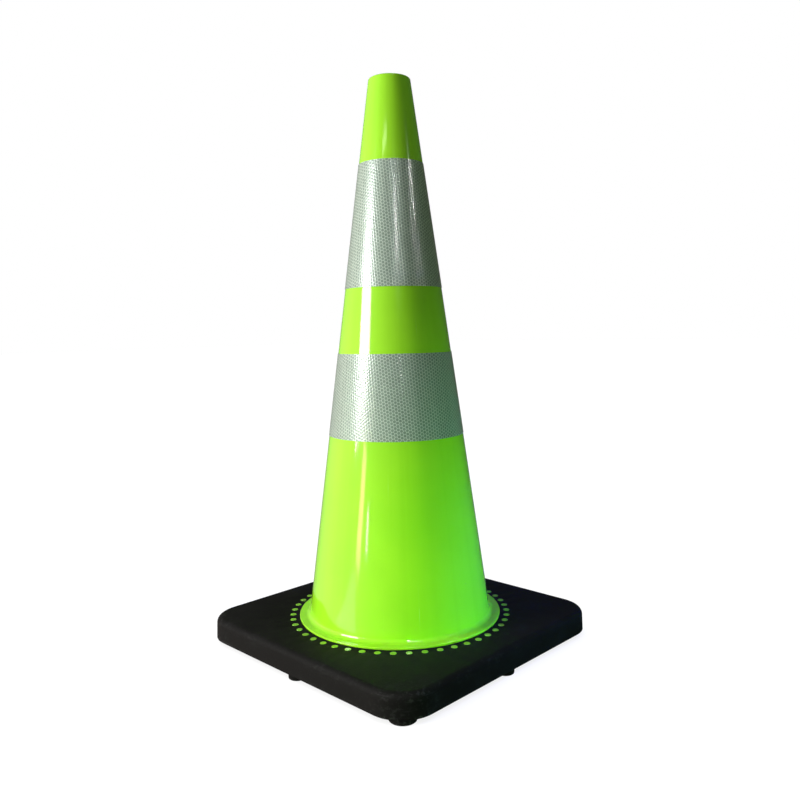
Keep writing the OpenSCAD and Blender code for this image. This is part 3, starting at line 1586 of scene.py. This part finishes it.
@dataclass
class Studio:
    """The pale floor, the white backdrop, the lights and the camera."""

    boxes: tuple[SoftBox, ...]
    camera_distance: float = 0.97485
    camera_height: float = 0.3928
    heading: float = 45.232
    yaw: float = 0.3232
    pitch: float = -5.0593
    roll: float = -1.1295
    lens: float = 34.745
    sensor: float = 36.0
    clip: tuple[float, float] = (0.01, 100.0)
    floor_size: float = 40.0
    floor_glow: float = 0.80
    floor_tone: float = 0.14
    floor_light_energy: float = 5.2
    floor_light_angle: float = 110.0
    floor_light_tilt: tuple[float, float] = (8.0, -10.0)

    def build_camera(self) -> None:
        """Makes the camera."""
        heading, yaw, pitch, roll = (
            math.radians(a) for a in (self.heading, self.yaw, self.pitch, self.roll)
        )
        ahead = Vector(
            (math.sin(yaw) * math.cos(pitch), math.cos(yaw) * math.cos(pitch), math.sin(pitch))
        )
        right = Vector((math.cos(yaw), -math.sin(yaw), 0.0))
        up = right.cross(ahead)
        tilted_right = right * math.cos(roll) + up * math.sin(roll)
        tilted_up = up * math.cos(roll) - right * math.sin(roll)
        turn = Matrix.Rotation(-heading, 3, "Z")
        axes = [turn @ v for v in (tilted_right, tilted_up, -ahead)]
        pose = Matrix(axes).transposed().to_4x4()
        pose.translation = Vector(
            (
                -self.camera_distance * math.sin(heading),
                -self.camera_distance * math.cos(heading),
                self.camera_height,
            )
        )
        data = bpy.data.cameras.new("camera")
        data.lens = self.lens
        data.sensor_width = self.sensor
        data.clip_start, data.clip_end = self.clip
        camera = bpy.data.objects.new("camera", data)
        camera.matrix_world = pose
        bpy.context.scene.collection.objects.link(camera)
        bpy.context.scene.camera = camera

    def build_floor(self) -> None:
        """Makes the pale floor, which the camera sees and the object does not."""
        half = self.floor_size / 2
        mesh = bpy.data.meshes.new("floor")
        mesh.from_pydata(
            [(-half, -half, 0), (half, -half, 0), (half, half, 0), (-half, half, 0)],
            [],
            [(0, 1, 2, 3)],
        )
        floor = bpy.data.objects.new("floor", mesh)
        bpy.context.scene.collection.objects.link(floor)
        material, g = new_finish("pale_floor")
        pale = g.node(
            "ShaderNodeBsdfPrincipled",
            {},
            {
                "Base Color": (self.floor_tone,) * 3,
                "Roughness": 1.0,
                "Specular IOR Level": 0.0,
                "Emission Color": (1.0, 1.0, 1.0),
                "Emission Strength": self.floor_glow,
            },
        )
        clear = g.node("ShaderNodeBsdfTransparent")
        behind = g.node("ShaderNodeNewGeometry", output="Backfacing")
        shown = g.node("ShaderNodeMixShader", {}, {0: behind, 1: pale, 2: clear})
        g.show("ShaderNodeOutputMaterial", shown)
        mesh.materials.append(material)
        floor.visible_diffuse = False
        floor.visible_glossy = False
        floor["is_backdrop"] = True
        self.light_floor(floor)

    def light_floor(self, floor: bpy.types.Object) -> None:
        """Lights the floor alone, so that the object has a soft shadow under it.

        Args:
            floor: The floor.
        """
        lamp = bpy.data.lights.new("floor_light", "SUN")
        lamp.energy = self.floor_light_energy
        lamp.angle = math.radians(self.floor_light_angle)
        light = bpy.data.objects.new("floor_light", lamp)
        light.rotation_euler = (*(math.radians(a) for a in self.floor_light_tilt), 0.0)
        bpy.context.scene.collection.objects.link(light)
        lit = bpy.data.collections.new("lit_floor")
        lit.objects.link(floor)
        light.light_linking.receiver_collection = lit

    def build_world(self) -> None:
        """Makes the white backdrop and the room's dim, uneven light."""
        world = bpy.data.worlds.new("studio")
        bpy.context.scene.world = world
        world.use_nodes = True
        g = NodeGraph(world.node_tree)
        direction = g.node("ShaderNodeTexCoord", output="Generated")

        def towards(offset: float) -> Signal:
            """How far a direction points to one side, as seen from the front."""
            bearing = math.radians(FRONT_BEARING + offset)
            return g.node(
                "ShaderNodeVectorMath",
                {"operation": "DOT_PRODUCT"},
                {0: direction, 1: (math.cos(bearing), math.sin(bearing), 0.0)},
                "Value",
            )

        room = g.node(
            "ShaderNodeValToRGB",
            {"stops": ROOM_GLOW},
            {0: towards(-90) * 0.5 + 0.5},
            "Color",
        )
        seen = g.node("ShaderNodeLightPath", output="Is Camera Ray")
        colour = g.blend(seen, room, (1.0, 1.0, 1.0))
        background = g.node("ShaderNodeBackground", {}, {"Color": colour, "Strength": 1.0})
        g.show("ShaderNodeOutputWorld", background)

    def build(self) -> None:
        """Makes the whole studio."""
        bpy.context.scene.view_settings.view_transform = "Standard"
        self.build_camera()
        self.build_floor()
        self.build_world()
        for box in self.boxes:
            box.build()


# How bright the room is, from its right (0) to its left (1)
ROOM_GLOW: list[tuple[float, Colour]] = [
    (0.0, (0.060, 0.070, 0.050)),
    (0.40, (0.075, 0.080, 0.070)),
    (0.62, (0.20, 0.20, 0.19)),
    (0.80, (0.40, 0.38, 0.35)),
    (1.0, (1.1, 0.92, 0.84)),
]

LIGHTS = (
    SoftBox(
        "window",
        side=-65.5, distance=1.5, height=0.79, width=0.61, tall=0.76, radiance=18.0, lean=-20,
    ),
    SoftBox(
        "left_soft",
        side=-52, distance=2.2, height=0.9, width=1.6, tall=1.6, radiance=0.5,
        tint=(1.0, 0.99, 0.95), reach=Reach.LIGHT,
    ),
    SoftBox(
        "back_soft",
        side=180, distance=2.2, height=1.1, width=1.6, tall=1.4, radiance=0.8, reach=Reach.LIGHT,
    ),
    SoftBox(
        "door_edge",
        side=-54, distance=1.5, height=0.21, width=0.17, tall=0.38, radiance=10.0,
        tint=(1.0, 0.95, 0.42), aim=0.2, reach=Reach.REFLECTION, lean=16,
    ),
    SoftBox(
        "door_gap",
        side=-43.5, distance=1.5, height=0.15, width=0.055, tall=0.12, radiance=18.0, aim=0.15,
        reach=Reach.REFLECTION,
    ),
    SoftBox(
        "floor_patch",
        side=-61, distance=0.9, height=0.003, width=1.1, tall=0.18, radiance=1.3,
        reach=Reach.REFLECTION, lying=True,
    ),
    SoftBox(
        "high_panel",
        side=-24, distance=2.0, height=1.7, width=0.6, tall=0.06, radiance=6.0,
        tint=(1.0, 1.0, 0.7), aim=0.6, reach=Reach.REFLECTION, lean=-8,
    ),
    SoftBox(
        "tube_right",
        side=67, distance=2.0, height=1.39, width=0.07, tall=0.14, radiance=160.0, aim=0.55,
        reach=Reach.REFLECTION,
    ),
    SoftBox(
        "tube_front",
        side=10, distance=2.0, height=1.36, width=0.07, tall=0.2, radiance=170.0, aim=0.55,
        reach=Reach.REFLECTION,
    ),
    SoftBox(
        "ceiling_tube",
        side=20, distance=1.2, height=2.0, width=0.5, tall=0.12, radiance=40.0, aim=0.1,
        reach=Reach.REFLECTION,
    ),
    SoftBox(
        "low_glow",
        side=5, distance=0.8, height=0.06, width=0.5, tall=0.1, radiance=20.0,
        tint=(0.55, 1.0, 0.4), aim=0.06, reach=Reach.LIGHT, spread=54,
    ),
    SoftBox(
        "low_cool",
        side=72, distance=0.8, height=0.06, width=0.5, tall=0.1, radiance=27.0,
        tint=(0.25, 1.0, 0.8), aim=0.06, reach=Reach.LIGHT, spread=58,
    ),
    SoftBox(
        "low_blue",
        side=104, distance=0.5, height=0.24, width=0.3, tall=0.08, radiance=190.0,
        tint=(0.0, 0.03, 1.0), aim=0.05, reach=Reach.LIGHT, spread=44,
    ),
    SoftBox(
        "right_fill",
        side=80, distance=2.2, height=0.6, width=1.6, tall=1.4, radiance=0.9,
        tint=(0.72, 1.0, 0.5), reach=Reach.LIGHT,
    ),
)


def main() -> None:
    """Builds every part of the object and the studio round it."""
    logging.basicConfig(level=logging.INFO, format="%(name)s: %(message)s")
    wall = ConeWall()
    lock = MouldedLock()
    lime = LimePvc().material()
    black = BlackPvc().material()
    white = WhiteVinyl().material()
    film_finishes = [finish.material() for finish in (PRISM_CELLS, WELD_LINES, TOOL_SEAM)]
    body = ConeBody(wall, lock)
    body.build_shell(lime)
    body.build_pegs(lime)
    SquareBase(wall, lock).build(black)
    upper = Collar(
        wall,
        "upper_collar",
        Part.UPPER_BACKING,
        Part.UPPER_FACE,
        seams=(SeamLine(bearing=FRONT_BEARING - 1.8, lean=-7.6, width=0.6 * MM),),
    )
    lower = Collar(
        wall, "lower_collar", Part.LOWER_BACKING, Part.LOWER_FACE, lap_bearing=52.0, seed=2
    )
    for collar in (upper, lower):
        collar.build_backing(white)
        collar.build_face(film_finishes)
    Studio(LIGHTS).build()
    log.info("pieces: %s", ", ".join(sorted(o.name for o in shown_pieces())))


if __name__ == "__main__":
    main()
